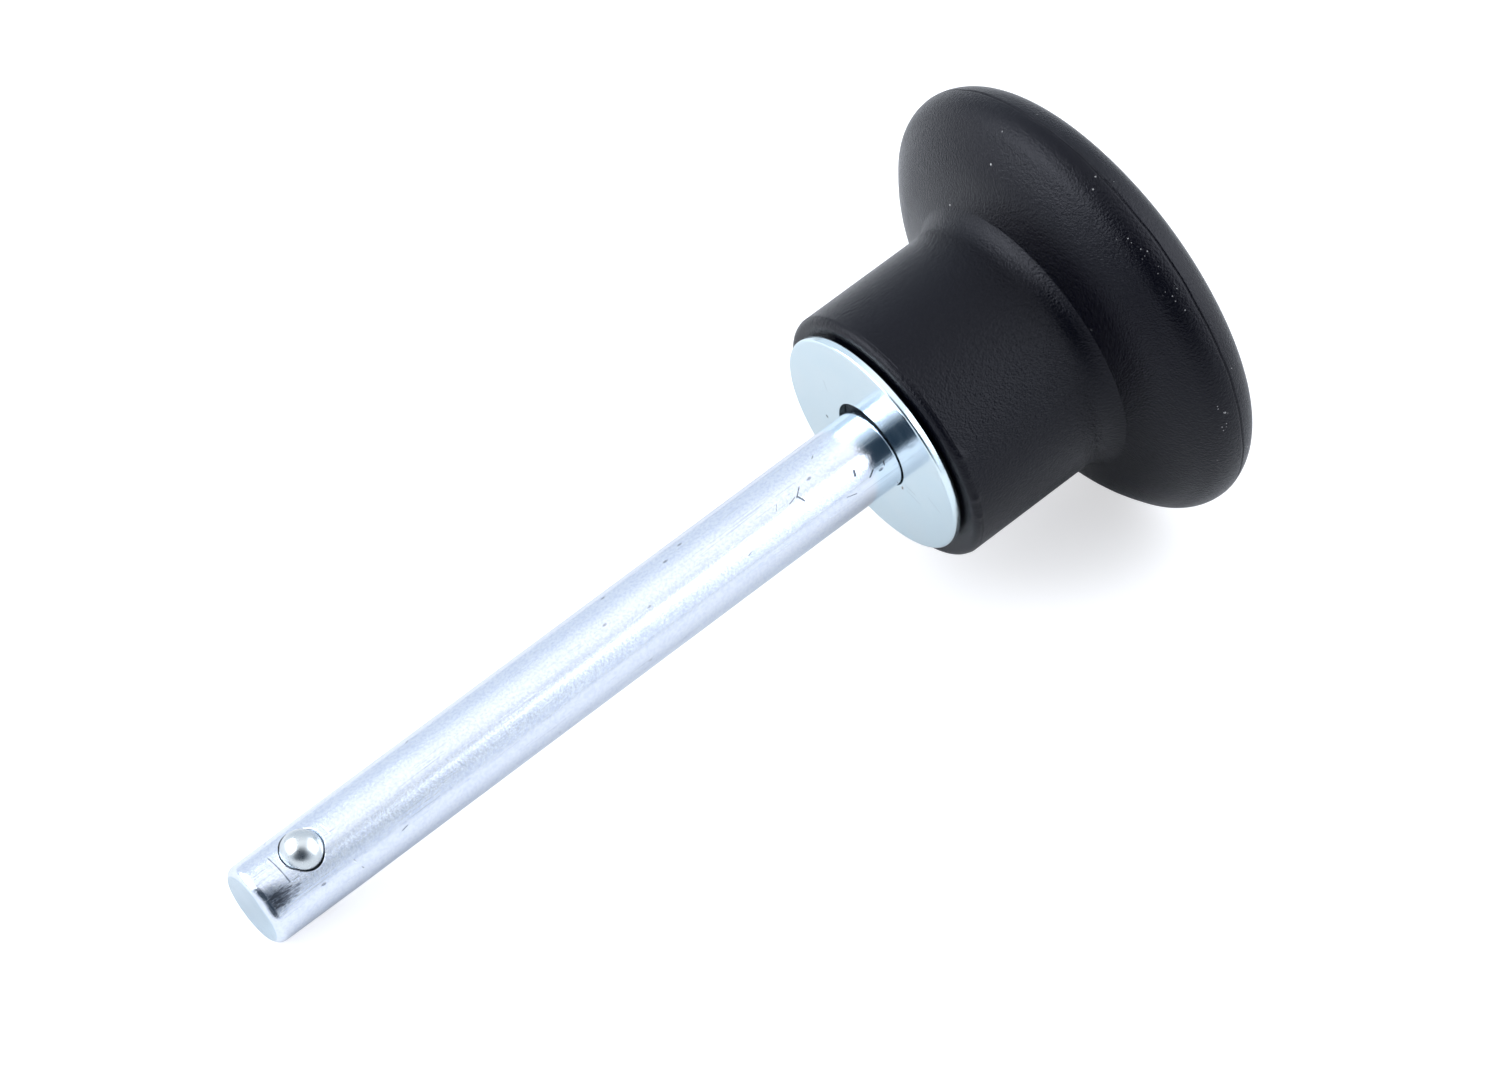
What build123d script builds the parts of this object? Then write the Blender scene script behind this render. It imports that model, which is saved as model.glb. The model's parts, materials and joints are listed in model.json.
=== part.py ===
"""Detent locking pin: a plated steel shank with a sprung ball near its tip, a steel washer,
and a mushroom knob moulded onto the shank's far end. It lies on its side, on the knob's rim
and the shank's tip, as it comes to rest on a flat surface.

Millimetres. +Z is up and +X runs towards the tip. The origin is on the surface the pin lies
on, under the middle of its length. Sizes named "behind" are measured along the pin's axis,
from the washer's front face towards the knob.
"""

import os
from math import asin, atan2, cos, hypot, radians, sin, sqrt, tan

from build123d import *

os.makedirs("parts", exist_ok=True)

# Shank
shank_radius = 5.0
shank_reach = 88.6  # from the washer's front face to the tip
tip_round = 1.0
lead_length = 11.2  # the last of the shank eases in very slightly towards the tip
lead_drop = 0.07
embedded_step = 0.2  # turned down this much where the knob is moulded on
embedded_length = 27.0  # behind the washer's front face
groove_behind = 9.0  # the groove stops the knob pulling off
groove_width = 3.0
groove_depth = 0.8
knurl_length = 10.0  # at the embedded end, so the knob cannot turn
knurl_depth = 0.4
knurl_teeth = 16

# Detent ball, its hole and its spring
ball_radius = 2.5
ball_protrusion = 1.6
ball_clearance = 0.06
hole_from_tip = 7.4
hole_lean = 11.4  # degrees from upright, about the shank
hole_floor_wall = 1.6  # steel left below the hole
lip_hold = 0.04  # how far the staked lip closes over the ball's radius, which keeps the ball in
lip_gap = 0.01
lip_lead = 0.3  # height over which the bore narrows to the lip
mouth_flare = 0.18  # of the mouth over the ball's radius
relief_flare = 0.23  # of the oval relief over the ball's radius, across the shank
relief_narrowing = 0.10  # of the oval relief under the ball's radius, along the shank
relief_below_crest = 1.15
stake_ring_margin = 0.92  # from the mouth to the ring's outer edge
stake_ring_shift = 0.2  # towards the tip
stake_ring_width = 0.55
stake_ring_depth = 0.22
spring_wire = 0.45
spring_side_gap = 0.585  # between the coil and the bore
wire_sides = 6  # the fine wire's round section, simplified
spring_turns = 4.5
spring_gap = 0.03

# Washer
washer_radius = 14.15
washer_thickness = 1.0
washer_hole_clearance = 0.5
washer_offset = 0.35  # how far it sits off the shank's axis
washer_offset_angle = 53.6  # degrees from upright, away from the ball's side
washer_edge = 0.3  # bevels of the two front edges
washer_hole_edge = 0.15

# Knob
spigot_inset = 0.95  # under the washer's radius
spigot_height = 0.5
neck_margin = 1.95  # over the washer's radius
neck_base_round = 0.9
neck_end_behind = 21.2
cove_round = 4.0
crease_behind = 22.5
crease_rise = 1.4
knee_behind = 24.3
knee_rise = 7.3
knee_round = 2.8
flare_slope = 49.5
knob_radius = 28.0
rim_round = 4.5
crown_edge_round = 4.2
crown_slope = 25.5  # where the crown's edge round meets its shallow dome

# Fits: what seats on or in another piece takes its size from that piece
embedded_radius = shank_radius - embedded_step
bore_radius = ball_radius + ball_clearance
lip_radius = ball_radius - lip_hold
mouth_radius = ball_radius + mouth_flare
relief_across = ball_radius + relief_flare
relief_along = ball_radius - relief_narrowing
stake_ring_radius = mouth_radius + stake_ring_margin
spring_radius = bore_radius - spring_side_gap - spring_wire / 2  # to the middle of the wire
spigot_radius = washer_radius - spigot_inset
neck_radius = washer_radius + neck_margin

# Knob outline worked out along the axis
knee_radius = neck_radius + knee_rise
flare_end_radius = knob_radius - rim_round * (1 - cos(radians(flare_slope)))
flare_end_behind = knee_behind + (flare_end_radius - knee_radius) / tan(radians(flare_slope))
rim_behind = flare_end_behind + rim_round * sin(radians(flare_slope))
crown_join_radius = knob_radius - crown_edge_round * (1 - sin(radians(crown_slope)))
crown_radius = crown_join_radius / sin(radians(crown_slope))
crown_centre_behind = rim_behind + (crown_edge_round - crown_radius) * cos(radians(crown_slope))

# The floor touches the knob's rim round and the shank's tip round. In the pin's own plane
# these are two circles, and the floor is the line that touches both from below.
lead_angle = atan2(lead_drop, lead_length)
tip_centre_along = shank_reach - tip_round
tip_centre_radius = shank_radius - lead_drop - tip_round * (1 / cos(lead_angle) - tan(lead_angle))
rim_centre_radius = knob_radius - rim_round
centres_apart = hypot(tip_centre_along + rim_behind, rim_centre_radius - tip_centre_radius)
centres_slope = atan2(rim_centre_radius - tip_centre_radius, tip_centre_along + rim_behind)
lie_angle = centres_slope + asin((rim_round - tip_round) / centres_apart)

# Place of the washer's front face, with the pin's length centred over the origin.
seat_height = rim_centre_radius * cos(lie_angle) - rim_behind * sin(lie_angle) + rim_round
reach_ahead = tip_centre_along * cos(lie_angle) + tip_centre_radius * sin(lie_angle) + tip_round
reach_behind = crown_centre_behind * cos(lie_angle) + crown_radius
seat = Vector((reach_behind - reach_ahead) / 2, 0, seat_height)

# The pin's own planes: "lengthwise" has X towards the tip and Y away from the axis, upwards.
towards_tip = Vector(cos(lie_angle), 0, -sin(lie_angle))
lengthwise = Plane(origin=seat, x_dir=towards_tip, z_dir=(0, -1, 0))
crosswise = Plane(origin=seat, x_dir=lengthwise.y_dir, z_dir=towards_tip)
pin_axis = Axis(seat, towards_tip)

# The ball's hole stands square to the shank. Its plane has X towards the tip, Y up the hole.
hole_centre = lengthwise.from_local_coords(Vector(shank_reach - hole_from_tip, 0, 0))
hole_up = lengthwise.y_dir.rotate(pin_axis, -hole_lean)
hole_plane = Plane(origin=hole_centre, x_dir=towards_tip, z_dir=towards_tip.cross(hole_up))
hole_axis = Axis(hole_centre, hole_up)
across_hole = Plane(origin=hole_centre, x_dir=towards_tip, z_dir=hole_up)
stake_centre = hole_centre + towards_tip * stake_ring_shift
stake_plane = Plane(origin=stake_centre, x_dir=towards_tip, z_dir=hole_plane.z_dir)

ball_height = shank_radius + ball_protrusion - ball_radius
hole_floor = hole_floor_wall - shank_radius
lip_height = ball_height + sqrt(ball_radius**2 - (lip_radius - lip_gap) ** 2)
above_crest = shank_radius + 1.0

with BuildPart() as pin_shank:
    with BuildSketch(lengthwise):
        with BuildLine():
            FilletPolyline(
                (-embedded_length, 0),
                (-embedded_length, embedded_radius),
                (-groove_behind - groove_width, embedded_radius),
                (-groove_behind - groove_width, embedded_radius - groove_depth),
                (-groove_behind, embedded_radius - groove_depth),
                (-groove_behind, embedded_radius),
                (0, embedded_radius),
                (0, shank_radius),
                (shank_reach - lead_length, shank_radius),
                (shank_reach, shank_radius - lead_drop),
                (shank_reach, 0),
                radius=(0, 0, 0, 0, 0, 0, 0, 0, tip_round),
            )
            Line((shank_reach, 0), (-embedded_length, 0))
        make_face()
    revolve(axis=pin_axis)

    # V-grooves of the straight knurl, cut inwards from the embedded end
    with BuildSketch(crosswise.offset(-embedded_length)):
        with PolarLocations(embedded_radius, knurl_teeth):
            Rectangle(knurl_depth * sqrt(2), knurl_depth * sqrt(2), rotation=45)
    extrude(amount=knurl_length, mode=Mode.SUBTRACT)

    # Blind hole for the ball and spring, narrowed at its mouth by the staked lip
    with BuildSketch(hole_plane):
        with BuildLine():
            Polyline(
                (0, hole_floor),
                (bore_radius, hole_floor),
                (bore_radius, lip_height - lip_lead),
                (lip_radius, lip_height),
                (mouth_radius, shank_radius),
                (mouth_radius, above_crest),
                (0, above_crest),
                (0, hole_floor),
            )
        make_face()
    revolve(axis=hole_axis, mode=Mode.SUBTRACT)

    # The staking leaves an oval mouth, widest across the shank
    with BuildSketch(across_hole.offset(shank_radius - relief_below_crest)):
        Ellipse(relief_along, relief_across)
    extrude(amount=above_crest - shank_radius + relief_below_crest, mode=Mode.SUBTRACT)

    # Ring mark of the staking punch, which bites only the crest of the shank
    with BuildSketch(stake_plane):
        with BuildLine():
            Polyline(
                (stake_ring_radius, shank_radius - stake_ring_depth),
                (stake_ring_radius, above_crest),
                (stake_ring_radius - stake_ring_width, above_crest),
                (stake_ring_radius - stake_ring_width, shank_radius),
                close=True,
            )
        make_face()
    revolve(axis=Axis(stake_plane.origin, hole_up), mode=Mode.SUBTRACT)

with BuildPart() as detent_ball:
    with BuildSketch(hole_plane):
        with Locations((0, ball_height)):
            Circle(ball_radius)
            Rectangle(ball_radius, 2 * ball_radius, align=(Align.MAX, Align.CENTER), mode=Mode.SUBTRACT)
    revolve(axis=hole_axis)

# The spring stands on the hole's floor, and its top turn bears on the underside of the ball
spring_contact = ball_radius + spring_wire / 2 + spring_gap
spring_top = ball_height - sqrt(spring_contact**2 - spring_radius**2)
spring_bottom = hole_floor + spring_wire / 2 + spring_gap
spring_height = spring_top - spring_bottom

with BuildPart() as detent_spring:
    with BuildLine():
        coil = Helix(
            pitch=spring_height / spring_turns,
            height=spring_height,
            radius=spring_radius,
            center=hole_centre + hole_up * spring_bottom,
            direction=hole_up,
        )
    with BuildSketch(Plane(origin=coil @ 0, z_dir=coil % 0)):
        RegularPolygon(spring_wire / 2, wire_sides)
    sweep(is_frenet=True)

washer_centre = lengthwise.y_dir.rotate(pin_axis, washer_offset_angle) * washer_offset + seat

with BuildPart() as washer:
    with BuildSketch(Plane(origin=washer_centre, x_dir=lengthwise.y_dir, z_dir=towards_tip)):
        Circle(washer_radius)
        Circle(shank_radius + washer_hole_clearance, mode=Mode.SUBTRACT)
    extrude(amount=-washer_thickness)
    front_edges = washer.faces().sort_by(pin_axis)[-1].edges().sort_by(SortBy.RADIUS)
    chamfer(front_edges[0], washer_hole_edge)
    chamfer(front_edges[-1], washer_edge)

with BuildPart() as knob:
    with BuildSketch(lengthwise):
        with BuildLine():
            base_behind = washer_thickness + spigot_height
            outline = FilletPolyline(
                (-washer_thickness, 0),
                (-washer_thickness, spigot_radius),
                (-base_behind, spigot_radius),
                (-base_behind, neck_radius),
                (-neck_end_behind, neck_radius),
                (-crease_behind, neck_radius + crease_rise),
                (-knee_behind, knee_radius),
                (-flare_end_behind, flare_end_radius),
                radius=(0, 0, neck_base_round, cove_round, 0, knee_round),
            )
            rim = JernArc(outline @ 1, outline % 1, rim_round, flare_slope)
            crown_edge = JernArc(rim @ 1, rim % 1, crown_edge_round, 90 - crown_slope)
            crown = JernArc(crown_edge @ 1, crown_edge % 1, crown_radius, crown_slope)
            Line(crown @ 1, outline @ 0)
        make_face()
    revolve(axis=pin_axis)
    # The knob is moulded round the shank, so it fills the groove and the knurl
    add(pin_shank.part, mode=Mode.SUBTRACT)

pin_shank.part.label = "pin_shank"
detent_ball.part.label = "detent_ball"
detent_spring.part.label = "detent_spring"
washer.part.label = "washer"
knob.part.label = "knob"

export_step(pin_shank.part, "parts/pin_shank.step")
export_step(detent_ball.part, "parts/detent_ball.step")
export_step(detent_spring.part, "parts/detent_spring.step")
export_step(washer.part, "parts/washer.step")
export_step(knob.part, "parts/knob.step")
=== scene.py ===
"""Looks for the detent locking pin: a zinc-plated steel shank with a sprung ball near its tip,
a plated washer, and a black moulded mushroom knob.

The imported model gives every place: the shank's mount gives the pin's own axis and the middle
of the washer's front face (the seat), and the ball's joint gives the line of its hole. Shapes
are measured from the seat: "along" runs towards the tip, "behind" the other way, "out" away
from the pin's axis, and "turn" round the axis from the upper side towards +Y. Lengths are in
millimetres up to make_piece, which writes each mesh in metres.
"""

import json
from math import atan2, cos, pi, radians, sin, sqrt, tan

import bmesh
import bpy
import numpy as np
from mathutils import Matrix, Vector


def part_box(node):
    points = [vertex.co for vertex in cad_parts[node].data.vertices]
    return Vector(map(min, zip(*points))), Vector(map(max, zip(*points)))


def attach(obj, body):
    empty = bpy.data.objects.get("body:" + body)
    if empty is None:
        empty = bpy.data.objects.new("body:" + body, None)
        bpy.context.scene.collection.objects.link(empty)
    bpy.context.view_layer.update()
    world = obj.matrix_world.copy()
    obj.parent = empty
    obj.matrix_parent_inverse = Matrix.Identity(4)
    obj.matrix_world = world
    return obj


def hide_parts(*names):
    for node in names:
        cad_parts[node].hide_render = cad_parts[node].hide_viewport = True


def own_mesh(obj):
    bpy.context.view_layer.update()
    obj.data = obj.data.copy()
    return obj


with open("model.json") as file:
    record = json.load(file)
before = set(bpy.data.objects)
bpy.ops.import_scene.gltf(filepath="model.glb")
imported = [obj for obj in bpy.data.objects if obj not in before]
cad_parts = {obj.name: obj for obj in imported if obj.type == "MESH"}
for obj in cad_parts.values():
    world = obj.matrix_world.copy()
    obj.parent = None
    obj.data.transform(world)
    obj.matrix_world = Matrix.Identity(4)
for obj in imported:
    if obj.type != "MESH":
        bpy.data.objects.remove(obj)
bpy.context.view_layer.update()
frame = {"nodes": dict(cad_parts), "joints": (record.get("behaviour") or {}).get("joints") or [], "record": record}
MM = 0.001

# ---------------------------------------------------------------- the pin's own axes

record = frame["record"]
shank_mount = next(m for m in record["mounts"] if m["name"] == "shank")
ball_joint = next(j for j in frame["joints"] if j["name"] == "ball_press")
usable_length = shank_mount["dims"]["length_mm"]
shank_radius = shank_mount["dims"]["r_mm"]
shank_reach = 88.54  # from the seat to the end of the tip

towards_tip = np.array(shank_mount["axis"])
upper_side = np.array([-towards_tip[2], 0.0, towards_tip[0]])
far_side = np.array([0.0, 1.0, 0.0])
seat = np.array(shank_mount["pos_m"]) / MM - towards_tip * usable_length / 2
lie_angle = atan2(-towards_tip[2], towards_tip[0])

hole_up = -np.array(ball_joint["axis"])
hole_side = np.cross(hole_up, towards_tip)
ball_low, ball_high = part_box("detent_ball")
ball_centre = np.array((ball_low + ball_high) / 2) / MM
ball_radius = (ball_high - ball_low)[1] / 2 / MM
ball_height = 4.1  # of the ball's centre above the pin's axis
hole_centre = ball_centre - hole_up * ball_height
hole_along = float((hole_centre - seat) @ towards_tip)
hole_turn = atan2(hole_up @ far_side, hole_up @ upper_side)


def on_pin(along, out, turn):
    """Seat, plus along times the axis, plus out times (cosine of turn upwards, sine of turn
    to the far side). Arrays of any one shape give an array of points."""
    along, out, turn = np.broadcast_arrays(along, out, turn)
    return (
        seat
        + along[..., None] * towards_tip
        + (out * np.cos(turn))[..., None] * upper_side
        + (out * np.sin(turn))[..., None] * far_side
    )


# ---------------------------------------------------------------- shape helpers


def softened(corners, radii, turn_step=radians(9)):
    """A chain of straight runs whose corners are replaced by tangent arcs. At a corner with
    radius r the arc starts r times the tangent of half the corner's turn before it, and its
    points are the arc's centre plus r in directions stepped evenly round. A point a little
    way out on each run keeps the flat beside the arc flat."""
    beside, beside_share = 0.12, 0.3
    corners = np.array(corners, float)
    chain = [corners[0]]
    for before, here, after, radius in zip(corners, corners[1:], corners[2:], radii):
        come, go = here - before, after - here
        come_length, go_length = np.hypot(*come), np.hypot(*go)
        come, go = come / come_length, go / go_length
        bend = atan2(come[0] * go[1] - come[1] * go[0], come @ go)
        reach = radius * tan(abs(bend) / 2)
        side = np.array([-come[1], come[0]]) * np.sign(bend)
        centre = here - come * reach + side * radius
        swing = np.linspace(0, bend, max(2, int(np.ceil(abs(bend) / turn_step))) + 1)
        across, up = -side
        arc = [np.cos(swing) * across - np.sin(swing) * up, np.sin(swing) * across + np.cos(swing) * up]
        chain.append(here - come * (reach + min(beside, (come_length - reach) * beside_share)))
        chain.extend(centre + radius * np.stack(arc, -1))
        chain.append(here + go * (reach + min(beside, (go_length - reach) * beside_share)))
    chain.append(corners[-1])
    return np.array(chain)


def arc_points(centre, radius, start, end, step=radians(4)):
    """Centre plus radius times (sine, cosine) of an angle that runs evenly from start to end."""
    count = max(2, int(np.ceil(abs(end - start) / step)))
    turn = np.linspace(start, end, count + 1)
    return np.stack([centre[0] + radius * np.sin(turn), centre[1] + radius * np.cos(turn)], -1)


def spread(chain, longest):
    """The same chain with each run longer than the given length cut into equal parts."""
    runs = np.hypot(*np.diff(chain, axis=0).T)
    cuts = np.maximum(1, np.ceil(runs / longest)).astype(int)
    pieces = [np.linspace(a, b, n, endpoint=False) for a, b, n in zip(chain, chain[1:], cuts)]
    return np.vstack(pieces + [chain[-1:]])


def round_turns(count):
    """Evenly spaced turns once round, from 0."""
    return np.linspace(0, 2 * pi, count, endpoint=False)


def grid_faces(rows, columns, closed_rows=False):
    """Corner numbers of the four-sided faces of a rows by columns grid that closes round its
    columns, and round its rows too if asked."""
    row = np.arange(rows if closed_rows else rows - 1)[:, None]
    column = np.arange(columns)[None, :]
    next_row, next_column = (row + 1) % rows, (column + 1) % columns
    corners = [row * columns + column, next_row * columns + column]
    corners += [next_row * columns + next_column, row * columns + next_column]
    return np.stack(np.broadcast_arrays(*corners), -1).reshape(-1, 4)


def lay_pin_map(mesh):
    """A UV map in millimetres: the distance along the pin from the seat, and the turn round it
    times the shank's radius. A face that crosses the turn's start keeps its corners together."""
    spots = np.zeros(len(mesh.vertices) * 3)
    mesh.vertices.foreach_get("co", spots)
    spots = spots.reshape(-1, 3) / MM - seat
    corner = np.zeros(len(mesh.loops), int)
    mesh.loops.foreach_get("vertex_index", corner)
    first = np.zeros(len(mesh.polygons), int)
    mesh.polygons.foreach_get("loop_start", first)
    count = np.diff(np.append(first, len(mesh.loops)))
    along = (spots @ towards_tip)[corner]
    turn = np.arctan2(spots @ far_side, spots @ upper_side)[corner]
    start = np.repeat(turn[first], count)
    turn = turn - 2 * pi * np.round((turn - start) / (2 * pi))
    layer = mesh.uv_layers.new(name="pin_map")
    layer.data.foreach_set("uv", np.stack([along, turn * shank_radius], -1).ravel())


def make_piece(name, points, faces, finish, body, node):
    """Writes points in millimetres and faces into a mesh in metres, joins points that
    coincide, turns the faces outwards by the sign of the enclosed volume, and sets the
    finish, the body it rides on and the modelled part it stands for."""
    mesh = bpy.data.meshes.new(name)
    mesh.from_pydata((points.reshape(-1, 3) * MM).tolist(), [], faces.tolist())
    work = bmesh.new()
    work.from_mesh(mesh)
    bmesh.ops.remove_doubles(work, verts=work.verts, dist=2e-7)
    bmesh.ops.dissolve_degenerate(work, edges=work.edges, dist=1e-8)
    bmesh.ops.recalc_face_normals(work, faces=work.faces)
    if work.calc_volume(signed=True) < 0:
        bmesh.ops.reverse_faces(work, faces=work.faces)
    work.to_mesh(mesh)
    work.free()
    mesh.shade_smooth()
    lay_pin_map(mesh)
    mesh.materials.append(finish)
    made = bpy.data.objects.new(name, mesh)
    bpy.context.scene.collection.objects.link(made)
    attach(made, body)
    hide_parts(node)
    return made


# ---------------------------------------------------------------- finishes


class Nodes:
    """A short way to write the nodes of a new material or world: each call adds nodes, links
    them and gives back an output. A scale is in cells or waves per metre."""

    def __init__(self, owner):
        owner.use_nodes = True
        self.owner = owner
        self.tree = owner.node_tree
        self.tree.nodes.clear()

    def put(self, socket, value):
        """Links another node's output or sets a constant. Colours come without their alpha."""
        if isinstance(value, bpy.types.NodeSocket):
            self.tree.links.new(value, socket)
        elif socket.type == "RGBA":
            socket.default_value = (*value, 1.0)
        else:
            socket.default_value = value

    def add(self, kind, settings=None, **inputs):
        """A new node. Inputs go by their names, with _ for a space."""
        node = self.tree.nodes.new(kind)
        for name, value in (settings or {}).items():
            setattr(node, name, value)
        for name, value in inputs.items():
            self.put(node.inputs[name.replace("_", " ")], value)
        return node

    def by_order(self, kind, settings, values):
        """A new node whose inputs share one name, so that they go by their order."""
        node = self.add(kind, settings)
        for socket, value in zip(node.inputs, values):
            self.put(socket, value)
        return node

    def math(self, operation, *values):
        return self.by_order("ShaderNodeMath", {"operation": operation}, values).outputs[0]

    def vector_math(self, operation, *values):
        node = self.by_order("ShaderNodeVectorMath", {"operation": operation}, values)
        return node.outputs["Value" if operation in ("DOT_PRODUCT", "DISTANCE") else "Vector"]

    def times(self, first, *others):
        """The product of several values."""
        for other in others:
            first = self.math("MULTIPLY", first, other)
        return first

    def most(self, first, *others):
        """The largest of several values."""
        for other in others:
            first = self.math("MAXIMUM", first, other)
        return first

    def plus_share(self, whole, share, part):
        """The whole plus a share of a part."""
        return self.math("MULTIPLY_ADD", part, share, whole)

    def between(self, value, low, high, out_low=0.0, out_high=1.0):
        """A smooth step: out_low up to low, out_high from high on."""
        smooth = {"interpolation_type": "SMOOTHSTEP"}
        ends = {"From_Min": low, "From_Max": high, "To_Min": out_low, "To_Max": out_high}
        return self.add("ShaderNodeMapRange", smooth, Value=value, **ends).outputs["Result"]

    def blend(self, share, a, b):
        """Colour a where the share is 0, colour b where it is 1."""
        node = self.add("ShaderNodeMix", {"data_type": "RGBA"}, Factor=share)
        self.put(node.inputs[6], a)
        self.put(node.inputs[7], b)
        return node.outputs[2]

    def noise(self, place, scale, detail, roughness):
        sizes = {"Scale": scale, "Detail": detail, "Roughness": roughness}
        return self.add("ShaderNodeTexNoise", Vector=place, **sizes).outputs["Fac"]

    def specks(self, place, scale, near, far, level=1.0):
        """Round specks, one in each cell, that fade from a level to 0 between two distances
        from the cell's middle, given in cells. Also gives each cell's own chance number."""
        cells = self.add("ShaderNodeTexVoronoi", {"feature": "F1"}, Vector=place, Scale=scale)
        chance = self.add("ShaderNodeSeparateColor", Color=cells.outputs["Color"]).outputs[0]
        return self.between(cells.outputs["Distance"], near, far, level, 0.0), chance

    def bump(self, height, distance):
        node = self.add("ShaderNodeBump", Height=height, Distance=distance, Strength=1.0)
        return node.outputs["Normal"]

    def object_place(self):
        return self.add("ShaderNodeTexCoord").outputs["Object"]

    def pin_place(self, stretch=None):
        """Object coordinates turned so that X runs along the pin from the seat, then scaled."""
        shift = -(Matrix.Rotation(-lie_angle, 3, "Y") @ Vector(seat * MM))
        sockets = {"Location": shift, "Rotation": (0, -lie_angle, 0)}
        turned = self.add("ShaderNodeMapping", Vector=self.object_place(), **sockets).outputs[0]
        if stretch is None:
            return turned
        return self.add("ShaderNodeMapping", Vector=turned, Scale=stretch).outputs[0]

    def along(self, pin_place):
        """How far a place lies from the seat towards the tip, in millimetres."""
        return self.times(self.add("ShaderNodeSeparateXYZ", Vector=pin_place).outputs[0], 1 / MM)

    def beyond(self, place, point, way):
        """How far a place lies beyond a point along one direction, in millimetres."""
        dot = self.vector_math("DOT_PRODUCT", place, way / MM)
        return self.math("SUBTRACT", dot, float(point @ way))

    def scratch(self, place, start, end, width):
        """A mark: 1 within a fifth of its width of the straight line from start to end, and 0
        from half its width away."""
        length = float(np.linalg.norm(end - start))
        way = (end - start) / length
        along = self.beyond(place, start, way)
        along = self.math("MINIMUM", self.math("MAXIMUM", along, 0.0), length)
        nearest = self.vector_math("MULTIPLY_ADD", way * MM, along, start * MM)
        gap = self.vector_math("DISTANCE", place, nearest)
        return self.between(gap, 0.2 * width * MM, 0.5 * width * MM, 1.0, 0.0)

    def marks(self, rows):
        """All the marks of a table. A row is the start, the end and the width, and both ends
        are (along, out, turn in degrees)."""
        place = self.object_place()
        ends = [
            (on_pin(a[0], a[1], radians(a[2])), on_pin(b[0], b[1], radians(b[2])), width)
            for a, b, width in rows
        ]
        return self.most(*[self.scratch(place, start, end, width) for start, end, width in ends])

    def close(self, shader, kind="ShaderNodeOutputMaterial"):
        """Links the last node to the output, and gives back the finished material or world."""
        self.add(kind, Surface=shader.outputs[0])
        return self.owner

    def surface(self, **sockets):
        return self.close(self.add("ShaderNodeBsdfPrincipled", **sockets))


# start and end as (along, out, turn in degrees), and width
dust_drifts = [
    ((-28.3, 27.5, 32), (-29.0, 27.8, 52), 3.6),
    ((-29.0, 27.8, 80), (-28.4, 27.5, 90), 3.0),
    ((-31.2, 27.9, 65), (-31.6, 27.8, 75), 1.6),
]


def black_moulded_plastic():
    """Black plastic with a fine spark-eroded grain, faint cloudy gloss and a little dust, which
    lies thickest round the rim, with finer dust in three short drifts there."""
    n = Nodes(bpy.data.materials.new("black_moulded_plastic"))
    place = n.pin_place()
    grain = n.noise(place, 4000, 3, 0.6)
    coarse_grain = n.noise(place, 2200, 2, 0.5)
    normal = n.bump(n.plus_share(grain, 0.5, coarse_grain), 0.00010)

    dust, chance = n.specks(place, 800, 0.06, 0.14)
    behind = n.times(n.along(place), -1)
    chosen = n.math("GREATER_THAN", chance, n.between(behind, 27.0, 30.0, 0.95, 0.74))
    patchy = n.between(n.noise(place, 75, 1, 0.5), 0.46, 0.58)
    fine_dust, fine_chance = n.specks(place, 2300, 0.06, 0.26, 0.8)
    drifted = n.math("GREATER_THAN", n.times(fine_chance, n.marks(dust_drifts)), 0.70)
    dust = n.most(n.times(dust, chosen, patchy), n.times(fine_dust, drifted))

    cloud = n.noise(place, 60, 3, 0.5)
    colour = n.blend(n.between(cloud, 0.35, 0.7), (0.0003, 0.0003, 0.0022), (0.0010, 0.0010, 0.0033))
    colour = n.blend(dust, colour, (0.40, 0.40, 0.40))
    rough = n.between(cloud, 0.3, 0.7, 0.19, 0.24)
    tint = (0.82, 0.84, 0.94)
    return n.surface(Base_Color=colour, Roughness=rough, IOR=1.325, Specular_Tint=tint, Normal=normal)


# start and end as (along, turn in degrees), and width
shank_nicks = [
    ((11.5, 21), (12.5, 30), 0.22),
    ((12.4, 29), (12.0, 39), 0.24),
    ((12.6, 28), (13.6, 31), 0.14),
    ((14.8, 22), (15.3, 29), 0.12),
    ((5.2, 46), (5.4, 52), 0.32),
    ((3.2, 60), (3.9, 66), 0.24),
    ((1.6, 58), (1.7, 64), 0.20),
    ((6.2, 74), (7.4, 70), 0.12),
    ((7.6, -4), (8.0, -1), 0.13),
    ((20.4, 51), (21.0, 53), 0.10),
    ((77.3, 64), (76.7, 83), 0.14),
    ((70.2, 70), (71.0, 72), 0.13),
    ((64.0, -30), (64.4, -27), 0.12),
    ((83.2, -40), (83.6, -36), 0.14),
]
# a dark line along part of the stake mark's edge on the tip side: start and end as (along, turn in degrees), and
# width
stake_dark_line = [((84.62, -6), (84.55, 15), 0.18), ((84.55, 14), (84.5, 37), 0.22)]
# half sizes, across and along the pin, of the oval of painted shade inside the hole
hole_shade_across, hole_shade_along = 2.74, 2.43


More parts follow.
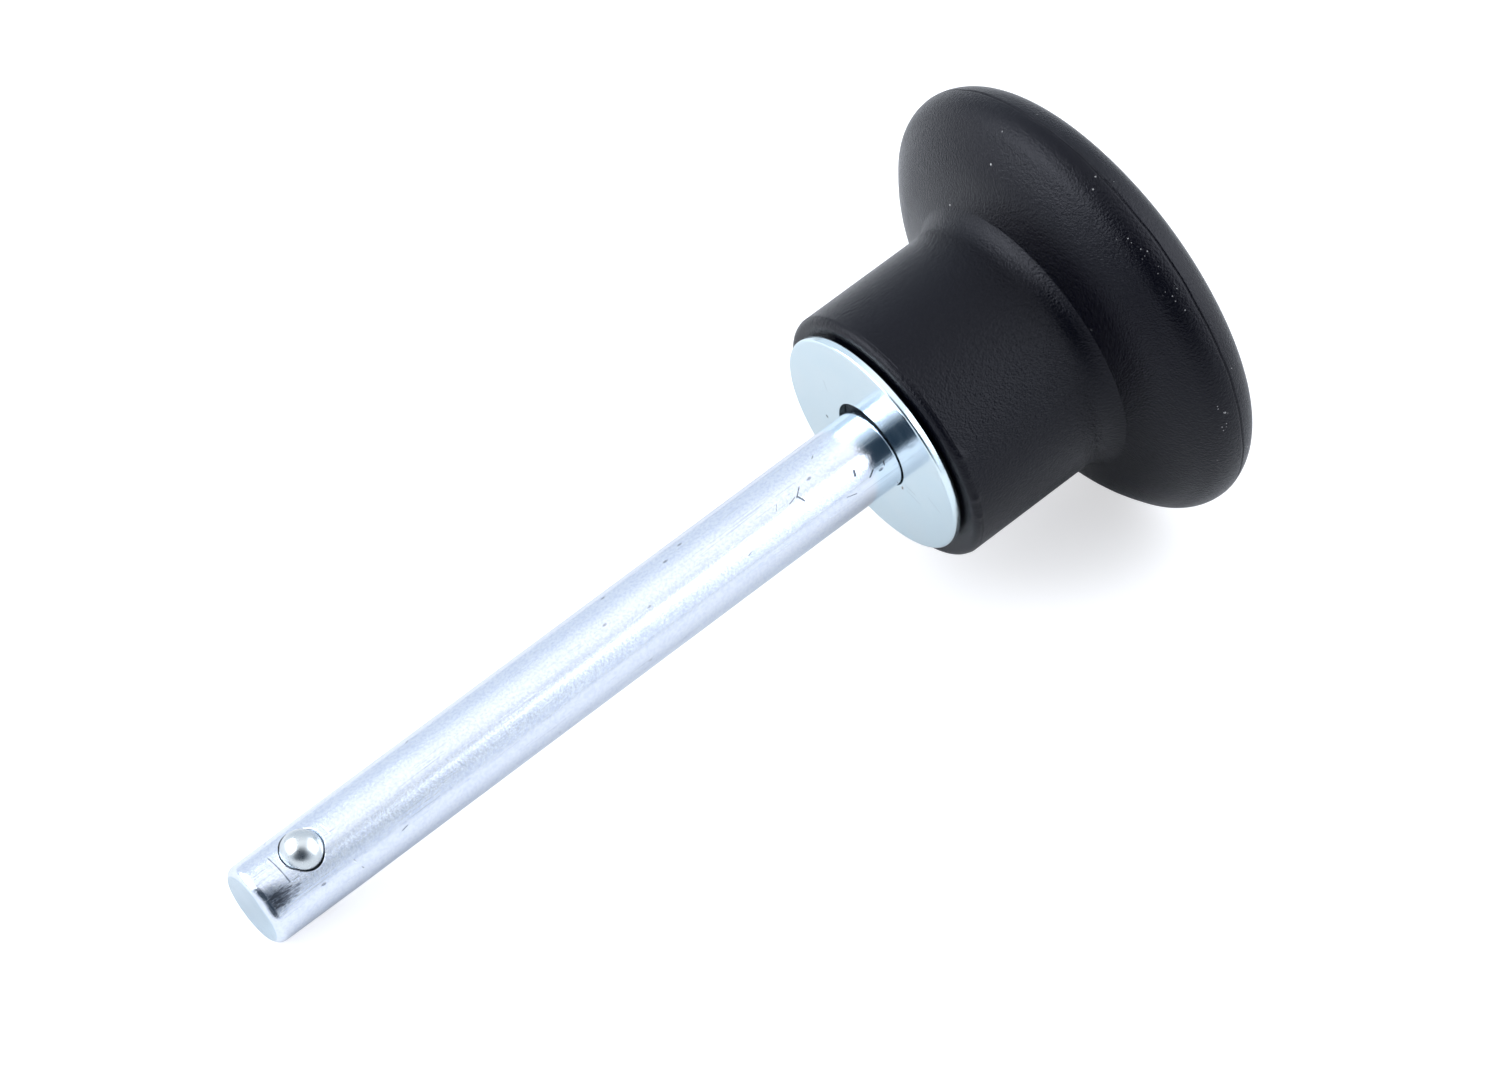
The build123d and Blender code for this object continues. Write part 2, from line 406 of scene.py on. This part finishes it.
def zinc_on_shank():
    """Bright zinc plate, pale blue. It is mirror-like close to the washer and frosted along the
    used length, with a fine stipple, drawn lines, pits, nicks, a dark line along part of the
    stake's mark, painted shade inside the hole, dark rubbed streaks near the tip, and a turned
    end face painted darker and teal as painted shade for the shaded floor it reflects."""
    n = Nodes(bpy.data.materials.new("zinc_on_shank"))
    place = n.pin_place()
    along = n.along(place)

    def on_skin(rows):
        out = shank_radius
        return n.marks([((a[0], out, a[1]), (b[0], out, b[1]), width) for a, b, width in rows])

    # frost, drawn lines and pits
    cloud = n.noise(place, 350, 3, 0.6)
    colour = n.blend(cloud, (0.82, 0.88, 0.985), (0.88, 0.93, 1.0))
    used = n.between(n.plus_share(along, 3.0, cloud), 4.5, 8.5)
    frost = n.between(n.noise(place, 2600, 3, 0.75), 0.42, 0.62)
    colour = n.blend(n.times(frost, used, 0.30), colour, (0.52, 0.61, 0.84))
    lines = n.between(n.noise(n.pin_place((90, 5200, 5200)), 1.0, 2, 0.6), 0.60, 0.70)
    patches = n.between(n.noise(place, 130, 2, 0.6), 0.42, 0.60)
    colour = n.blend(n.times(lines, patches, 0.40), colour, (0.40, 0.45, 0.55))
    pits, chance = n.specks(n.pin_place((380, 800, 800)), 1.0, 0.07, 0.17)
    pitted = n.between(n.noise(place, 110, 1, 0.5), 0.40, 0.52)
    pits = n.times(pits, n.math("GREATER_THAN", chance, 0.78), pitted)
    colour = n.blend(n.times(pits, 0.65), colour, (0.16, 0.17, 0.21))

    # the end face, painted darker and teal as painted shade for the shaded floor it reflects,
    # and the streaks rubbed along the skin beside the hole
    end_face_shade = n.between(along, shank_reach - 0.10, shank_reach - 0.04)
    colour = n.blend(end_face_shade, colour, (0.60, 0.72, 0.80))
    spot = n.object_place()
    across_hole = n.beyond(spot, hole_centre, hole_side)
    off_streaks = n.math("ABSOLUTE", n.math("SUBTRACT", across_hole, 2.8))
    beside_hole = n.between(off_streaks, 0.4, 1.5, 1.0, 0.0)
    near_tip = n.times(n.between(along, 80.0, 86.4), n.between(along, 87.2, 88.0, 1.0, 0.0))
    top_skin = n.between(n.beyond(spot, hole_centre, hole_up), 3.0, 3.4)
    streaks = n.noise(n.pin_place((1100, 7500, 7500)), 1.0, 4, 0.7)
    rubbed = n.plus_share(streaks, 0.42, n.times(beside_hole, near_tip, top_skin))
    colour = n.blend(n.times(n.between(rubbed, 0.74, 0.96), 0.85), colour, (0.13, 0.15, 0.20))

    # a dark line along part of the stake's mark, nicks, and painted shade inside the oval hole
    nicks = on_skin(shank_nicks)
    # a dark line painted along part of the stake mark's edge on the tip side
    colour = n.blend(n.times(on_skin(stake_dark_line), 0.85), colour, (0.10, 0.13, 0.19))
    colour = n.blend(n.times(nicks, 0.9), colour, (0.10, 0.11, 0.14))
    # painted shade: an oval round the hole's line is painted nearly black for the shade inside the hole. It
    # depends only on the distance along and across from that line, so the same oval also lies on the shank's
    # underside, opposite the hole.
    a = n.times(n.beyond(spot, hole_centre, towards_tip), 1 / hole_shade_along)
    b = n.times(across_hole, 1 / hole_shade_across)
    from_hole = n.math("SQRT", n.math("ADD", n.times(a, a), n.times(b, b)))
    colour = n.blend(n.between(from_hole, 0.985, 1.0, 1.0, 0.0), colour, (0.05, 0.07, 0.10))

    # stipple and drawn lines on the skin, turned rings on the end face, marks sunk in
    stipple = n.noise(place, 3600, 3, 0.65)
    drawn = n.noise(n.pin_place((400, 9000, 9000)), 1.0, 2, 0.6)
    turned = n.noise(n.pin_place((9000, 0, 0)), 1.0, 1, 0.5)
    height = n.plus_share(stipple, 0.5, drawn)
    height = n.plus_share(height, 1.5, n.times(turned, n.between(along, 86.6, 87.6)))
    height = n.plus_share(height, -2.0, n.math("ADD", nicks, pits))
    normal = n.bump(n.plus_share(height, -0.6, lines), 0.000012)

    rough = n.plus_share(n.between(cloud, 0.3, 0.7, 0.06, 0.08), 0.12, used)
    run = n.add("ShaderNodeTangent", {"direction_type": "UV_MAP", "uv_map": "pin_map"}).outputs[0]
    sheen = {"Metallic": 1.0, "Roughness": rough, "Anisotropic": 0.8, "Tangent": run}
    return n.surface(Base_Color=colour, Normal=normal, **sheen)


# on the washer's front face: start and end as (out, turn in degrees), and width
washer_rubs = [
    ((5.7, 114), (7.4, 111), 0.12),
    ((6.2, 121), (8.3, 117), 0.10),
    ((9.5, 96), (11.6, 101), 0.08),
    ((8.2, -60), (9.4, -52), 0.07),
]
washer_rust = [
    ((13.85, 33), (13.9, 35), 0.35),
    ((5.6, 125), (5.7, 128), 0.4),
    ((14.1, 115), (14.15, 117), 0.3),
]
washer_dot = [((8.3, -99), (8.4, -98), 0.4)]


def zinc_on_washer():
    """Bright zinc plate with the flat, slightly greener tone of the pressed washer, a dark
    dot, specks of rust by its hole and rim, and light rub marks."""
    n = Nodes(bpy.data.materials.new("zinc_on_washer"))
    place = n.pin_place()

    def on_face(rows):
        return n.marks([((0.0, *a), (0.0, *b), width) for a, b, width in rows])

    cloud = n.noise(place, 260, 3, 0.55)
    rubs = on_face(washer_rubs)
    normal = n.bump(n.plus_share(n.noise(place, 5000, 2, 0.6), -2.0, rubs), 0.000008)
    colour = n.blend(cloud, (0.75, 0.92, 0.99), (0.86, 0.97, 1.0))
    colour = n.blend(n.times(rubs, 0.5), colour, (0.35, 0.38, 0.40))
    colour = n.blend(n.times(on_face(washer_rust), 0.8), colour, (0.22, 0.10, 0.04))
    colour = n.blend(on_face(washer_dot), colour, (0.06, 0.07, 0.08))
    rough = n.between(cloud, 0.3, 0.7, 0.10, 0.17)
    return n.surface(Base_Color=colour, Metallic=1.0, Roughness=rough, Normal=normal)


def polished_ball_steel():
    """Hard bright ball steel with a very faint haze."""
    n = Nodes(bpy.data.materials.new("polished_ball_steel"))
    haze = n.noise(n.pin_place(), 900, 3, 0.6)
    colour = n.blend(haze, (0.62, 0.67, 0.69), (0.70, 0.74, 0.76))
    return n.surface(Base_Color=colour, Metallic=1.0, Roughness=n.between(haze, 0.3, 0.7, 0.26, 0.30))


def spring_wire():
    """Spring steel with a fine dull grain."""
    n = Nodes(bpy.data.materials.new("spring_wire"))
    grain = n.noise(n.pin_place(), 7000, 2, 0.5)
    colour = n.blend(grain, (0.42, 0.42, 0.43), (0.58, 0.58, 0.59))
    return n.surface(Base_Color=colour, Metallic=1.0, Roughness=0.32, Normal=n.bump(grain, 0.000003))


# ---------------------------------------------------------------- knob

washer_thickness = 1.0
embedded_radius = 4.8
embedded_length = 27.0
groove_behind, groove_width, groove_depth = 9.0, 3.0, 0.8
spigot_radius, spigot_height = 13.2, 0.5
neck_radius = 16.1
neck_base_round = 0.9
neck_end_behind = 21.2
cove_round = 4.0
crease_behind, crease_rise, crease_round = 22.5, 1.4, 0.12
knee_behind, knee_rise, knee_round = 24.3, 7.3, 13.0
flare_slope = radians(49.5)
knob_radius, rim_round, crown_edge_round = 28.0, 4.5, 4.2
crown_slope = radians(25.5)

parting_behind = 30.65
parting_dip, parting_dip_width = 0.14, 0.09
parting_waves = [(0.07, 3, 1), (0.05, 11, 0), (0.03, 29, 2)]  # height, waves a turn, start
parting_wave_width = 0.4
ledge_depth, ledge_run = 0.14, 1.2
base_step, base_step_end = 0.05, 2.4
flash_mounds = [  # behind, turn in degrees, size, height
    (2.4, 61, 0.45, 0.22),
    (2.3, 57, 0.3, 0.12),
    (2.1, 82, 0.45, 0.2),
    (2.2, 71, 0.3, 0.08),
    (2.1, 93, 0.35, 0.1),
]
knob_columns = 400
base_rows = [1.7, 1.9, 2.1, 2.25, 2.36, 2.44, 2.5, 2.7, 3.0]
parting_rows = parting_behind + np.array([-0.5, -0.3, -0.16, -0.08, 0, 0.08, 0.16, 0.3, 0.5])


def embedded_end(start):
    """The half section shared by the shank's embedded end and the knob's socket, as (behind,
    out): the end, a groove, and the way forward to the given distance behind the seat."""
    groove_end, groove_radius = groove_behind + groove_width, embedded_radius - groove_depth
    return [
        (embedded_length, 0),
        (embedded_length, embedded_radius),
        (groove_end, embedded_radius),
        (groove_end, groove_radius),
        (groove_behind, groove_radius),
        (groove_behind, embedded_radius),
        (start, embedded_radius),
    ]


def knob_outline():
    """The knob's half section as (behind, out), from the inner end of the socket round the
    outside to the middle of the crown. The rim, the crown's edge and the crown are arcs that
    meet without a corner."""
    knee_radius = neck_radius + knee_rise
    flare_end_radius = knob_radius - rim_round * (1 - cos(flare_slope))
    flare_end = knee_behind + (flare_end_radius - knee_radius) / tan(flare_slope)
    rim_behind = flare_end + rim_round * sin(flare_slope)
    crown_join = knob_radius - crown_edge_round * (1 - sin(crown_slope))
    crown_radius = crown_join / sin(crown_slope)
    crown_centre = rim_behind + (crown_edge_round - crown_radius) * cos(crown_slope)
    base = washer_thickness + spigot_height
    ledge_middle = (base, (spigot_radius + neck_radius) / 2)
    socket = softened(
        embedded_end(washer_thickness)
        + [(washer_thickness, spigot_radius), (base, spigot_radius), ledge_middle],
        [0.02] * 5 + [0.05] * 3,
        turn_step=radians(45),
    )
    neck_and_flare = softened(
        [
            ledge_middle,
            (base, neck_radius),
            (neck_end_behind, neck_radius),
            (crease_behind, neck_radius + crease_rise),
            (knee_behind, knee_radius),
            (flare_end, flare_end_radius),
        ],
        [neck_base_round, cove_round, crease_round, knee_round],
        turn_step=radians(5),
    )
    rim = arc_points((rim_behind, knob_radius - rim_round), rim_round, -flare_slope, 0)
    edge_middle = (rim_behind, knob_radius - crown_edge_round)
    edge = arc_points(edge_middle, crown_edge_round, 0, pi / 2 - crown_slope)
    crown = arc_points((crown_centre, 0), crown_radius, pi / 2 - crown_slope, pi / 2, radians(0.8))
    return spread(np.vstack([socket, neck_and_flare[1:], rim[1:], edge[1:], crown[1:]]), 0.9)


def with_rows(outline, places):
    """The same half section with extra points where its outside passes the given distances
    behind the seat, found by straight interpolation between the points on either side."""
    first = int(np.argmax(outline[:, 1] > neck_radius - neck_base_round - 1e-6))
    outside = outline[first:]
    extra = np.stack([places, np.interp(places, outside[:, 0], outside[:, 1])], -1)
    outside = np.vstack([outside, extra])
    return np.vstack([outline[:first], outside[np.argsort(outside[:, 0], kind="stable")]])


def moulded_knob():
    """Each point of the half section turned about the pin's axis. The radius then changes by
    a narrow dip along the parting line, which wanders a little as three sine waves of the
    turn, by a ledge behind it that deepens as 1 - exp(-distance), by a low step at the neck's
    base, and by a few small mounds of moulding flash, each a bell of the distance from it."""
    outline = with_rows(knob_outline(), np.concatenate([base_rows, parting_rows]))
    turns = round_turns(knob_columns)[None, :]
    behind, out, turns = np.broadcast_arrays(outline[:, :1], outline[:, 1:], turns)
    outside = out > neck_radius - neck_base_round
    on_rim = out > knob_radius - 1
    from_parting = behind - parting_behind
    dip = parting_dip * np.exp(-((from_parting / parting_dip_width) ** 2)) * on_rim
    ledge = ledge_depth * (1 - np.exp(-np.maximum(0, from_parting) / ledge_run)) * out / knob_radius
    step = base_step * (behind < base_step_end) * outside
    mounds = np.zeros(out.shape)
    for at_behind, at_turn, size, height in flash_mounds:
        across = (turns - radians(at_turn)) * neck_radius
        mounds += height * np.exp(-((behind - at_behind) ** 2 + across**2) / size**2)
    wander = sum(height * np.sin(waves * turns + start) for height, waves, start in parting_waves)
    behind = behind + wander * np.exp(-((from_parting / parting_wave_width) ** 2)) * on_rim
    points = on_pin(-behind, out - dip - ledge - step + mounds * outside, turns)
    faces = grid_faces(*out.shape)
    make_piece("knob_moulding", points, faces, black_moulded_plastic(), "pin", "knob")


# ---------------------------------------------------------------- washer

washer_radius, washer_hole_radius = 14.15, 5.5
washer_offset, washer_offset_turn = 0.35, radians(-53.6)
washer_columns = 288


def pressed_washer():
    """A ring section with a rolled outer front edge and small breaks on its other edges,
    turned about the washer's own centre, which sits a little off the pin's axis."""
    inner_middle = (-washer_thickness / 2, washer_hole_radius)
    section = softened(
        [
            inner_middle,
            (0, washer_hole_radius),
            (0, washer_radius),
            (-washer_thickness, washer_radius),
            (-washer_thickness, washer_hole_radius),
            inner_middle,
        ],
        [0.15, 0.3, 0.12, 0.1],
        turn_step=radians(12),
    )[:-1]
    section = spread(section, 1.2)
    turns = round_turns(washer_columns)[None, :]
    points = on_pin(section[:, :1], section[:, 1:], turns)
    points = points + on_pin(0, washer_offset, washer_offset_turn) - seat
    faces = grid_faces(len(section), washer_columns, closed_rows=True)
    make_piece("washer_pressing", points, faces, zinc_on_washer(), "pin", "washer")


# ---------------------------------------------------------------- shank

tip_flat, tip_back = 0.74, 0.52  # the chamfer round the tip, across and along
lead_length, lead_drop = 11.2, 0.07  # the narrowing towards the tip
lead_from, lead_slope = shank_reach - lead_length, lead_drop / lead_length
wear_from, wear_rate = 84.6, 0.036
wear_turn, wear_spread = radians(44), radians(20)
wear_skin = 1.2  # the wear is full this far in from the skin, then fades towards the axis
bore_radius, hole_floor, floor_round = 2.56, -3.4, 0.1
lip_radius, lip_height, lip_lead = 2.46, 4.5975, 0.3
mouth_radius, relief_across, relief_along = 2.68, 2.73, 2.40
relief_floor = shank_radius - 1.15
stake_radius, stake_width, stake_depth, stake_shift = 3.6, 0.5, 0.07, 0.2

shank_columns = 192
patch_half = 32  # rows and columns from the middle of the square patch to its edge
patch_reach = 5.2  # along the pin, from the middle of the patch to its edge
mouth_edge = 0.08  # a narrow ring that keeps the mouth's edge sharp
skin_rings = (3.0, 3.05, 3.1, 3.3, 3.5, 3.58, 3.6, 3.62, 3.7, 3.9)
fill_rings = 8  # between the last of the skin rings and the square's edge
relief_shares = (0.02, 0.06, 0.12, 0.2, 0.3, 0.4, 0.5, 0.6, 0.7, 0.8, 0.9, 0.97, 1.0)


def bore_at(height):
    """The bore's radius at a height up the hole: straight, narrowing to the staked lip, then
    opening to the mouth."""
    return np.interp(
        height,
        [lip_height - lip_lead, lip_height, shank_radius],
        [bore_radius, lip_radius, mouth_radius],
    )


def mouth_at(height, way):
    """The hole's radius in the direction 'way' round it: the larger of the bore's radius and,
    above the relief's floor, the oval relief's."""
    oval = 1 / np.hypot(np.cos(way) / relief_along, np.sin(way) / relief_across)
    return np.where(height > relief_floor, np.maximum(oval, bore_at(height)), bore_at(height))


def in_hole(radius, way, height):
    """Hole's centre, plus radius times (cosine of way towards the tip, sine of way to the
    side), plus height up the hole."""
    return (
        hole_centre
        + (radius * np.cos(way))[..., None] * towards_tip
        + (radius * np.sin(way))[..., None] * hole_side
        + (height + 0 * way)[..., None] * hole_up
    )


def skin_radius(along):
    """The shank's radius, which falls evenly over the last length before the tip."""
    return shank_radius - np.maximum(0, along - lead_from) * lead_slope


def worn(points, along, turn):
    """Pushes points towards the axis by the square of the distance past the stake's mark
    times a bell of the turn: the skin near the tip is worn down on one side."""
    bell = np.exp(-(((turn - wear_turn) / wear_spread) ** 2))
    drop = wear_rate * np.maximum(0, along - wear_from) ** 2 * bell
    return points - drop[..., None] * (on_pin(0.0, 1.0, turn) - seat)


def round_body(patch_rows):
    """The whole shank as a grid of distance along and turn, closed at both ends by rows that
    shrink to a point. It is worn beside the tip, less and less towards the axis. Also gives the
    number of the first row of the square patch round the hole."""
    corners = [(-behind, out) for behind, out in embedded_end(0)]
    corners += [(0, shank_radius), (patch_rows[0], shank_radius)]
    back = spread(softened(corners, [0.1] + [0.05] * 6)[:-1], 1.5)
    middle = np.stack([patch_rows, skin_radius(patch_rows)], -1)
    tip_radius = shank_radius - lead_drop
    front = softened(
        [
            middle[-1],
            (shank_reach - tip_back, tip_radius),
            (shank_reach, tip_radius - tip_flat),
            (shank_reach, 0),
        ],
        [1.1, 0.25],
        turn_step=radians(5),
    )[1:]
    section = np.vstack([back, middle, spread(front, 0.4)])
    turns = hole_turn + np.arange(shank_columns) * 2 * pi / shank_columns
    along, out, turns = np.broadcast_arrays(section[:, :1], section[:, 1:], turns[None, :])
    body = on_pin(along, out, turns)
    share = np.clip(out / (shank_radius - wear_skin), 0, 1)[..., None] ** 4
    return body * (1 - share) + worn(body, along, turns % (2 * pi)) * share, len(back)


def skin_round_hole(way, mouth, square):
    """Rings on the skin, from the hole's mouth to the edge of the square patch. They are laid
    out flat as (distance along, distance round the shank), rolled on to the shank, and pressed
    down where the punch's sloped ring bit into it."""

    def unrolled(middle, radius):
        along, across = middle + radius * np.cos(way), radius * np.sin(way)
        return np.stack([along, shank_radius * np.arcsin(across / shank_radius)], -1)

    rings = [unrolled(0, mouth), unrolled(0, mouth + mouth_edge)]
    rings += [unrolled(stake_shift, radius) for radius in skin_rings]
    outer = rings[-1]
    shares = np.linspace(0, 1, fill_rings + 2)[1:-1]
    rings += [outer * (1 - share) + square * share for share in shares]
    flat = np.array(rings)
    along, turn = flat[..., 0] + hole_along, flat[..., 1] / shank_radius
    points = on_pin(along, skin_radius(along), turn + hole_turn)

    from_stake = np.hypot(flat[..., 0] - stake_shift, shank_radius * np.sin(turn))
    bite = shank_radius - stake_depth * (from_stake - stake_radius + stake_width) / stake_width
    in_ring = (from_stake > stake_radius - stake_width - 1e-6) & (from_stake < stake_radius + 1e-6)
    height = (points - hole_centre) @ hole_up
    drop = np.where(in_ring, np.minimum(0, bite - height), 0.0)
    return worn(points + drop[..., None] * hole_up, along, turn + hole_turn)


def hole_wall(way, mouth):
    """Rings down the hole's wall, from its mouth on the round skin past the oval relief and the
    lip to the flat floor, which shrinks to a point."""
    mouth_height = np.sqrt(shank_radius**2 - (mouth * np.sin(way)) ** 2)
    rings = []
    for share in relief_shares:
        height = mouth_height + (relief_floor + 1e-4 - mouth_height) * share
        rings.append(in_hole(mouth_at(height, way), way, height))
    for height in (relief_floor - 0.01, 1.0, hole_floor + floor_round, hole_floor):
        rings.append(in_hole(bore_radius, way, height))
    for radius in (bore_radius - floor_round, 1.2, 0.0):
        rings.append(in_hole(radius, way, hole_floor))
    return np.array(rings)


def plated_shank():
    """Three joined sheets. The round body is a grid of distance along and turn, with a square
    gap around the hole. The gap is filled by rings that change evenly from the square to the
    hole's mouth, and then go down the hole's wall to its floor. The mouth is where the hole's
    radius and the height of the round skin above the hole's centre agree."""
    patch_rows = np.linspace(hole_along - patch_reach, hole_along + patch_reach, 2 * patch_half + 1)
    body, first_row = round_body(patch_rows)
    faces = grid_faces(len(body), shank_columns)
    row, column = np.divmod(np.arange(len(faces)), shank_columns)
    in_gap = (row >= first_row) & (row < first_row + 2 * patch_half)
    in_gap &= (column < patch_half) | (column >= shank_columns - patch_half)

    # the square's edge, followed once round
    side = np.arange(-patch_half, patch_half)
    low, high = np.full(len(side), -patch_half), np.full(len(side), patch_half)
    edge_row = np.concatenate([low, side, high, -side]) + patch_half
    edge_column = np.concatenate([side, high, -side, low])
    edge_number = (edge_row + first_row) * shank_columns + edge_column % shank_columns
    edge_along = patch_rows[edge_row] - hole_along
    edge_across = edge_column * 2 * pi / shank_columns * shank_radius
    way = np.arctan2(edge_across, edge_along)

    # each round brings the mouth's radius about three times closer to the one that agrees
    mouth = np.full(len(way), bore_radius)
    for _ in range(30):
        mouth = mouth_at(np.sqrt(shank_radius**2 - (mouth * np.sin(way)) ** 2), way)

    skin = skin_round_hole(way, mouth, np.stack([edge_along, edge_across], -1))
    rings = np.concatenate([hole_wall(way, mouth)[::-1], skin])
    body_size = body.size // 3
    last_ring = np.arange(len(way)) + body_size + (len(rings) - 1) * len(way)
    join = np.stack([last_ring, edge_number, np.roll(edge_number, -1), np.roll(last_ring, -1)], -1)
    points = np.vstack([body.reshape(-1, 3), rings.reshape(-1, 3)])
    faces = np.vstack([faces[~in_gap], grid_faces(len(rings), len(way)) + body_size, join])
    make_piece("shank_plated", points, faces, zinc_on_shank(), "pin", "pin_shank")


# ---------------------------------------------------------------- ball and spring

wire_radius, coil_radius, coils = 0.225, 1.75, 4.5
spring_gap = 0.03  # to the floor under it and to the ball above it
wire_sides, spine_points = 12, 220


def coiled_spring():
    """A round wire carried along a helix up the hole: the wire's circle is spanned by the
    helix's outward direction and the square to it and to the helix's run."""
    bottom = hole_floor + wire_radius + spring_gap
    top = ball_height - sqrt((ball_radius + wire_radius + spring_gap) ** 2 - coil_radius**2)
    turn = np.linspace(0, coils * 2 * pi, spine_points)
    climb = (top - bottom) / (coils * 2 * pi)
    outward = np.cos(turn)[:, None] * towards_tip + np.sin(turn)[:, None] * hole_side
    onward = -np.sin(turn)[:, None] * towards_tip + np.cos(turn)[:, None] * hole_side
    run = onward * coil_radius + hole_up * climb
    run /= np.linalg.norm(run, axis=1)[:, None]
    square = np.cross(run, outward)
    spine = hole_centre + outward * coil_radius + (bottom + turn * climb)[:, None] * hole_up
    sides = round_turns(wire_sides)
    tube = (
        spine[:, None]
        + wire_radius * np.cos(sides)[None, :, None] * outward[:, None]
        + wire_radius * np.sin(sides)[None, :, None] * square[:, None]
    )
    start, end = (np.repeat(spine[[i]][None], wire_sides, 1) for i in (0, -1))
    tube = np.concatenate([start, tube, end])
    faces = grid_faces(len(tube), wire_sides)
    made = make_piece("spring_coiled", tube, faces, spring_wire(), "pin", "detent_spring")
    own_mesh(made)


moulded_knob()
pressed_washer()
plated_shank()
coiled_spring()
ball_finish = frame["nodes"]["detent_ball"].data.materials
ball_finish.clear()
ball_finish.append(polished_ball_steel())

# ---------------------------------------------------------------- floor, light and camera


def pale_floor():
    """A wide flat sheet on the ground. Under the pin and in the metal it is plain pale paper.
    Seen directly it also glows a little, which brings it up to white where no shadow falls."""
    half = 3.0
    corners = [(-half, -half, 0), (half, -half, 0), (half, half, 0), (-half, half, 0)]
    mesh = bpy.data.meshes.new("floor")
    mesh.from_pydata(corners, [], [(0, 1, 2, 3)])
    n = Nodes(bpy.data.materials.new("pale_floor"))
    seen = n.add("ShaderNodeLightPath").outputs["Is Camera Ray"]
    tone = n.blend(seen, (0.65, 0.655, 0.67), (0.64, 0.645, 0.655))
    paper = n.add("ShaderNodeBsdfDiffuse", Color=tone)
    glow = n.add("ShaderNodeEmission", Color=(0.995, 0.99, 1.0), Strength=n.times(seen, 0.57))
    both = n.by_order("ShaderNodeAddShader", None, [paper.outputs[0], glow.outputs[0]])
    mesh.materials.append(n.close(both))
    floor = bpy.data.objects.new("floor", mesh)
    bpy.context.scene.collection.objects.link(floor)


def direction(azimuth, elevation):
    a, e = radians(azimuth), radians(elevation)
    return np.array([cos(e) * cos(a), cos(e) * sin(a), sin(e)])


def soft_box(name, azimuth, elevation, distance, width, height, radiance):
    """A flat lamp that faces the pin from the given direction."""
    light = bpy.data.lights.new(name, "AREA")
    light.shape = "RECTANGLE"
    light.size, light.size_y = width, height
    light.energy = radiance * width * height * pi
    light.color = (0.97, 0.985, 1.0)
    lamp = bpy.data.objects.new(name, light)
    back = direction(azimuth, elevation)
    turn = Vector(-back).to_track_quat("-Z", "Y").to_matrix().to_4x4()
    lamp.matrix_world = Matrix.Translation(back * distance) @ turn
    bpy.context.scene.collection.objects.link(lamp)


def studio_walls():
    """The world: even pale walls, a brighter ceiling overhead, and a soft dark place on the
    camera's side, a little lower than the camera. Each is a smooth step of the angle from its
    own direction. Seen directly, the world is white."""
    world = bpy.data.worlds.new("studio_walls")
    n = Nodes(world)
    way = n.add("ShaderNodeTexCoord").outputs["Generated"]

    def angle_from(azimuth, elevation, near, far):
        dot = n.vector_math("DOT_PRODUCT", way, direction(azimuth, elevation))
        return n.between(n.math("ARCCOSINE", dot), radians(near), radians(far))

    colour = n.blend(angle_from(0, 90, 8, 50), (1.16, 1.19, 1.24), (0.76, 0.83, 0.93))
    colour = n.blend(angle_from(50, 28, 20, 58), (0.02, 0.035, 0.055), colour)
    seen = n.add("ShaderNodeLightPath").outputs["Is Camera Ray"]
    colour = n.blend(seen, colour, (1.0, 1.0, 1.0))
    glow = n.add("ShaderNodeBackground", Color=colour)
    bpy.context.scene.world = n.close(glow, "ShaderNodeOutputWorld")


def camera():
    """A long lens, looking down on the pin from beyond its tip and to one side."""
    lens = bpy.data.cameras.new("camera")
    lens.lens, lens.sensor_width = 144.0, 36.0
    lens.clip_start, lens.clip_end = 0.05, 20.0
    holder = bpy.data.objects.new("camera", lens)
    stand = (0.2997905, 0.3759055, 0.4780641)
    right = Vector((-0.77574738, 0.63104358, 0.0))
    back = Vector((0.45798386, 0.56300355, 0.68795188))
    up = back.cross(right)
    turn = Matrix((right, up, back)).transposed()
    holder.matrix_world = Matrix.Translation(stand) @ turn.to_4x4()
    bpy.context.scene.collection.objects.link(holder)
    bpy.context.scene.camera = holder


pale_floor()
soft_box("lamp_right", azimuth=145, elevation=33, distance=0.47, width=0.58, height=0.50, radiance=2.0)
soft_box("lamp_left", azimuth=-33, elevation=36, distance=0.47, width=0.48, height=0.34, radiance=4.8)
studio_walls()
camera()
bpy.context.scene.view_settings.view_transform = "Standard"
